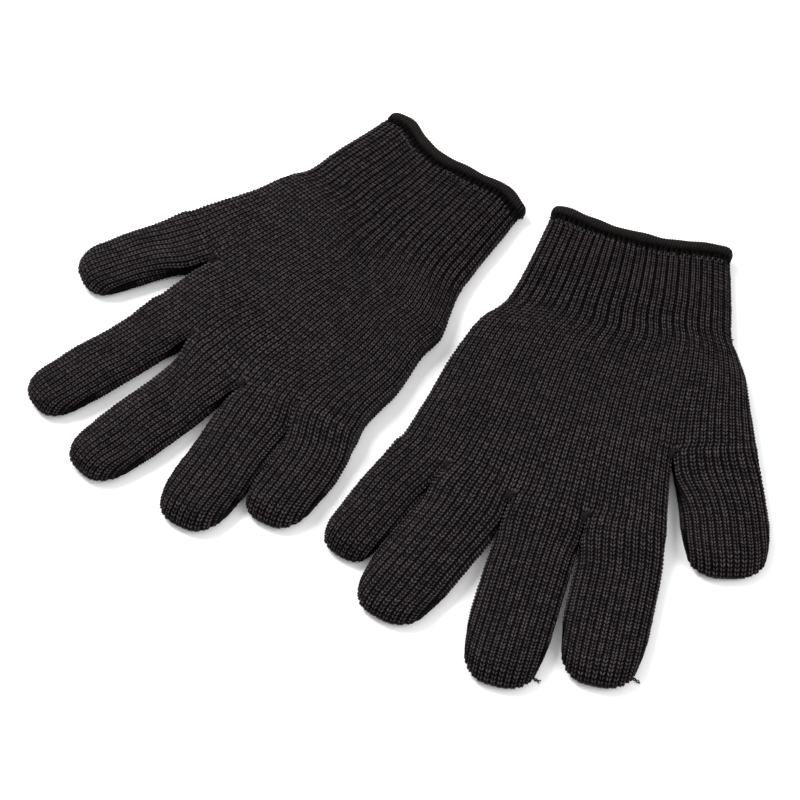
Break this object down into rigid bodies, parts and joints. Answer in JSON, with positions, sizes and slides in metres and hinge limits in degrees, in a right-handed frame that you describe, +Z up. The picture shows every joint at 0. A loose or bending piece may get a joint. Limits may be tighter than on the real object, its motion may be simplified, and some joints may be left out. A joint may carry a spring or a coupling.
{
  "type": "pair of knitted protective work gloves",
  "caption": "Dark knitted cut-resistant work gloves laid palm up, hollow, with ribbed elastic cuffs, rolled hems and fingers, thumbs and cuffs that bend.",
  "frame": {"origin": "on the table under the middle of the pair's bounding box", "axes": "+Z up from the table and out of the palms, +X to the right of the pair as pictured (from the right-hand glove toward the left-hand glove), +Y toward the cuffs, away from the viewer"},
  "size_m": [0.3094, 0.3036, 0.0121],
  "materials": {
    "glove_knit": "coarse knitted yarn, charcoal black, soft sheen",
    "cuff_knit": "ribbed knitted yarn, charcoal black",
    "hem_yarn": "dense rolled overlock edge, black",
    "stitching_yarn": "stitched yarn, dark grey",
    "elastic_yarn": "covered elastic yarn, dark grey",
    "loose_yarn": "twisted yarn, charcoal black"
  },
  "bodies": {
    "left_hand": {"left_palm": "glove_knit", "left_crotch_stitches": "stitching_yarn"},
    "left_cuff_part": {"left_cuff": "cuff_knit", "left_hem": "hem_yarn", "left_hem_stitching": "stitching_yarn", "left_cuff_elastic": "elastic_yarn", "left_hem_yarn_end": "loose_yarn", "left_wrist_yarn_end": "loose_yarn"},
    "left_index_base_part": {"left_index_finger_base": "glove_knit"},
    "left_index_centre_part": {"left_index_finger_centre": "glove_knit"},
    "left_index_tip_part": {"left_index_finger_tip": "glove_knit", "left_index_finger_yarn_end": "loose_yarn"},
    "left_middle_base_part": {"left_middle_finger_base": "glove_knit"},
    "left_middle_centre_part": {"left_middle_finger_centre": "glove_knit"},
    "left_middle_tip_part": {"left_middle_finger_tip": "glove_knit", "left_middle_finger_yarn_end": "loose_yarn"},
    "left_ring_base_part": {"left_ring_finger_base": "glove_knit"},
    "left_ring_centre_part": {"left_ring_finger_centre": "glove_knit"},
    "left_ring_tip_part": {"left_ring_finger_tip": "glove_knit"},
    "left_little_base_part": {"left_little_finger_base": "glove_knit"},
    "left_little_centre_part": {"left_little_finger_centre": "glove_knit"},
    "left_little_tip_part": {"left_little_finger_tip": "glove_knit"},
    "left_thumb_base_part": {"left_thumb_base": "glove_knit"},
    "left_thumb_tip_part": {"left_thumb_tip": "glove_knit"},
    "right_hand": {"right_palm": "glove_knit", "right_crotch_stitches": "stitching_yarn"},
    "right_cuff_part": {"right_cuff": "cuff_knit", "right_hem": "hem_yarn", "right_hem_stitching": "stitching_yarn", "right_cuff_elastic": "elastic_yarn", "right_hem_yarn_end": "loose_yarn"},
    "right_index_base_part": {"right_index_finger_base": "glove_knit"},
    "right_index_centre_part": {"right_index_finger_centre": "glove_knit"},
    "right_index_tip_part": {"right_index_finger_tip": "glove_knit", "right_index_finger_yarn_end": "loose_yarn"},
    "right_middle_base_part": {"right_middle_finger_base": "glove_knit"},
    "right_middle_centre_part": {"right_middle_finger_centre": "glove_knit"},
    "right_middle_tip_part": {"right_middle_finger_tip": "glove_knit"},
    "right_ring_base_part": {"right_ring_finger_base": "glove_knit"},
    "right_ring_centre_part": {"right_ring_finger_centre": "glove_knit"},
    "right_ring_tip_part": {"right_ring_finger_tip": "glove_knit"},
    "right_little_base_part": {"right_little_finger_base": "glove_knit"},
    "right_little_centre_part": {"right_little_finger_centre": "glove_knit"},
    "right_little_tip_part": {"right_little_finger_tip": "glove_knit"},
    "right_thumb_base_part": {"right_thumb_base": "glove_knit"},
    "right_thumb_tip_part": {"right_thumb_tip": "glove_knit", "right_thumb_yarn_end": "loose_yarn"}
  },
  "joints": [
    {"name": "left_wrist", "type": "hinge", "parent": "left_hand", "child": "left_cuff_part", "pos_m": [0.09802, 0.02749, 0.005], "axis": [0.9564, -0.292, 0], "range_deg": [0, 60]},
    {"name": "left_index_knuckle", "type": "hinge", "parent": "left_hand", "child": "left_index_base_part", "pos_m": [0.09465, -0.08859, 0.0045], "axis": [-0.9564, 0.292, 0], "range_deg": [0, 80]},
    {"name": "left_index_middle_joint", "type": "hinge", "parent": "left_index_base_part", "child": "left_index_centre_part", "pos_m": [0.0889, -0.11241, 0.0045], "axis": [-0.9721, 0.2346, 0], "range_deg": [0, 90]},
    {"name": "left_index_tip_joint", "type": "hinge", "parent": "left_index_centre_part", "child": "left_index_tip_part", "pos_m": [0.08433, -0.13136, 0.0045], "axis": [-0.9721, 0.2346, 0], "range_deg": [0, 60]},
    {"name": "left_middle_knuckle", "type": "hinge", "parent": "left_hand", "child": "left_middle_base_part", "pos_m": [0.06231, -0.07924, 0.0045], "axis": [-0.9564, 0.292, 0], "range_deg": [0, 80]},
    {"name": "left_middle_middle_joint", "type": "hinge", "parent": "left_middle_base_part", "child": "left_middle_centre_part", "pos_m": [0.05405, -0.10651, 0.0045], "axis": [-0.9572, 0.2895, 0], "range_deg": [0, 90]},
    {"name": "left_middle_tip_joint", "type": "hinge", "parent": "left_middle_centre_part", "child": "left_middle_tip_part", "pos_m": [0.04754, -0.12805, 0.0045], "axis": [-0.9572, 0.2895, 0], "range_deg": [0, 60]},
    {"name": "left_ring_knuckle", "type": "hinge", "parent": "left_hand", "child": "left_ring_base_part", "pos_m": [0.03065, -0.06905, 0.0045], "axis": [-0.9564, 0.292, 0], "range_deg": [0, 80]},
    {"name": "left_ring_middle_joint", "type": "hinge", "parent": "left_ring_base_part", "child": "left_ring_centre_part", "pos_m": [0.01743, -0.08908, 0.0045], "axis": [-0.8347, 0.5507, 0], "range_deg": [0, 90]},
    {"name": "left_ring_tip_joint", "type": "hinge", "parent": "left_ring_centre_part", "child": "left_ring_tip_part", "pos_m": [0.00724, -0.10452, 0.0045], "axis": [-0.8347, 0.5507, 0], "range_deg": [0, 60]},
    {"name": "left_little_knuckle", "type": "hinge", "parent": "left_hand", "child": "left_little_base_part", "pos_m": [0.00549, -0.05457, 0.0045], "axis": [-0.9564, 0.292, 0], "range_deg": [0, 80]},
    {"name": "left_little_middle_joint", "type": "hinge", "parent": "left_little_base_part", "child": "left_little_centre_part", "pos_m": [-0.0062, -0.07079, 0.0045], "axis": [-0.8113, 0.5846, 0], "range_deg": [0, 90]},
    {"name": "left_little_tip_joint", "type": "hinge", "parent": "left_little_centre_part", "child": "left_little_tip_part", "pos_m": [-0.01322, -0.08053, 0.0045], "axis": [-0.8113, 0.5846, 0], "range_deg": [0, 60]},
    {"name": "left_thumb_knuckle", "type": "hinge", "parent": "left_hand", "child": "left_thumb_base_part", "pos_m": [0.13753, -0.06143, 0.0045], "axis": [-0.9564, 0.292, 0], "range_deg": [0, 70]},
    {"name": "left_thumb_tip_joint", "type": "hinge", "parent": "left_thumb_base_part", "child": "left_thumb_tip_part", "pos_m": [0.13742, -0.08343, 0.0045], "axis": [-1, 0.0049, 0], "range_deg": [0, 80]},
    {"name": "right_wrist", "type": "hinge", "parent": "right_hand", "child": "right_cuff_part", "pos_m": [-0.00723, 0.08372, 0.005], "axis": [0.6967, -0.7174, 0], "range_deg": [0, 60]},
    {"name": "right_index_knuckle", "type": "hinge", "parent": "right_hand", "child": "right_index_base_part", "pos_m": [-0.10145, 0.02142, 0.0045], "axis": [-0.6967, 0.7174, 0], "range_deg": [0, 80]},
    {"name": "right_index_middle_joint", "type": "hinge", "parent": "right_index_base_part", "child": "right_index_centre_part", "pos_m": [-0.12035, 0.00662, 0.0045], "axis": [-0.6166, 0.7872, 0], "range_deg": [0, 90]},
    {"name": "right_index_tip_joint", "type": "hinge", "parent": "right_index_centre_part", "child": "right_index_tip_part", "pos_m": [-0.13491, -0.00479, 0.0045], "axis": [-0.6166, 0.7872, 0], "range_deg": [0, 60]},
    {"name": "right_middle_knuckle", "type": "hinge", "parent": "right_hand", "child": "right_middle_base_part", "pos_m": [-0.07989, -0.00294, 0.0045], "axis": [-0.6967, 0.7174, 0], "range_deg": [0, 80]},
    {"name": "right_middle_middle_joint", "type": "hinge", "parent": "right_middle_base_part", "child": "right_middle_centre_part", "pos_m": [-0.09795, -0.02094, 0.0045], "axis": [-0.706, 0.7082, 0], "range_deg": [0, 90]},
    {"name": "right_middle_tip_joint", "type": "hinge", "parent": "right_middle_centre_part", "child": "right_middle_tip_part", "pos_m": [-0.11212, -0.03506, 0.0045], "axis": [-0.706, 0.7082, 0], "range_deg": [0, 60]},
    {"name": "right_ring_knuckle", "type": "hinge", "parent": "right_hand", "child": "right_ring_base_part", "pos_m": [-0.05669, -0.02611, 0.0045], "axis": [-0.6967, 0.7174, 0], "range_deg": [0, 80]},
    {"name": "right_ring_middle_joint", "type": "hinge", "parent": "right_ring_base_part", "child": "right_ring_centre_part", "pos_m": [-0.06733, -0.04594, 0.0045], "axis": [-0.8811, 0.473, 0], "range_deg": [0, 90]},
    {"name": "right_ring_tip_joint", "type": "hinge", "parent": "right_ring_centre_part", "child": "right_ring_tip_part", "pos_m": [-0.07584, -0.0618, 0.0045], "axis": [-0.8811, 0.473, 0], "range_deg": [0, 60]},
    {"name": "right_little_knuckle", "type": "hinge", "parent": "right_hand", "child": "right_little_base_part", "pos_m": [-0.03052, -0.03943, 0.0045], "axis": [-0.6967, 0.7174, 0], "range_deg": [0, 80]},
    {"name": "right_little_middle_joint", "type": "hinge", "parent": "right_little_base_part", "child": "right_little_centre_part", "pos_m": [-0.03936, -0.05624, 0.0045], "axis": [-0.885, 0.4656, 0], "range_deg": [0, 90]},
    {"name": "right_little_tip_joint", "type": "hinge", "parent": "right_little_centre_part", "child": "right_little_tip_part", "pos_m": [-0.04425, -0.06553, 0.0045], "axis": [-0.885, 0.4656, 0], "range_deg": [0, 60]},
    {"name": "right_thumb_knuckle", "type": "hinge", "parent": "right_hand", "child": "right_thumb_base_part", "pos_m": [-0.09826, 0.06909, 0.0045], "axis": [-0.6967, 0.7174, 0], "range_deg": [0, 70]},
    {"name": "right_thumb_tip_joint", "type": "hinge", "parent": "right_thumb_base_part", "child": "right_thumb_tip_part", "pos_m": [-0.11642, 0.06072, 0.0045], "axis": [-0.4183, 0.9083, 0], "range_deg": [0, 80]},
    {"name": "right_glove_slide", "type": "slide", "parent": "left_hand", "child": "right_hand", "axis": [-1, 0, 0], "range_m": [0, 0.12]}
  ],
  "couplings": [
    {"joint": "left_index_tip_joint", "follows": "left_index_middle_joint", "ratio": 0.66},
    {"joint": "left_middle_tip_joint", "follows": "left_middle_middle_joint", "ratio": 0.66},
    {"joint": "left_ring_tip_joint", "follows": "left_ring_middle_joint", "ratio": 0.66},
    {"joint": "left_little_tip_joint", "follows": "left_little_middle_joint", "ratio": 0.66},
    {"joint": "right_index_tip_joint", "follows": "right_index_middle_joint", "ratio": 0.66},
    {"joint": "right_middle_tip_joint", "follows": "right_middle_middle_joint", "ratio": 0.66},
    {"joint": "right_ring_tip_joint", "follows": "right_ring_middle_joint", "ratio": 0.66},
    {"joint": "right_little_tip_joint", "follows": "right_little_middle_joint", "ratio": 0.66}
  ]
}
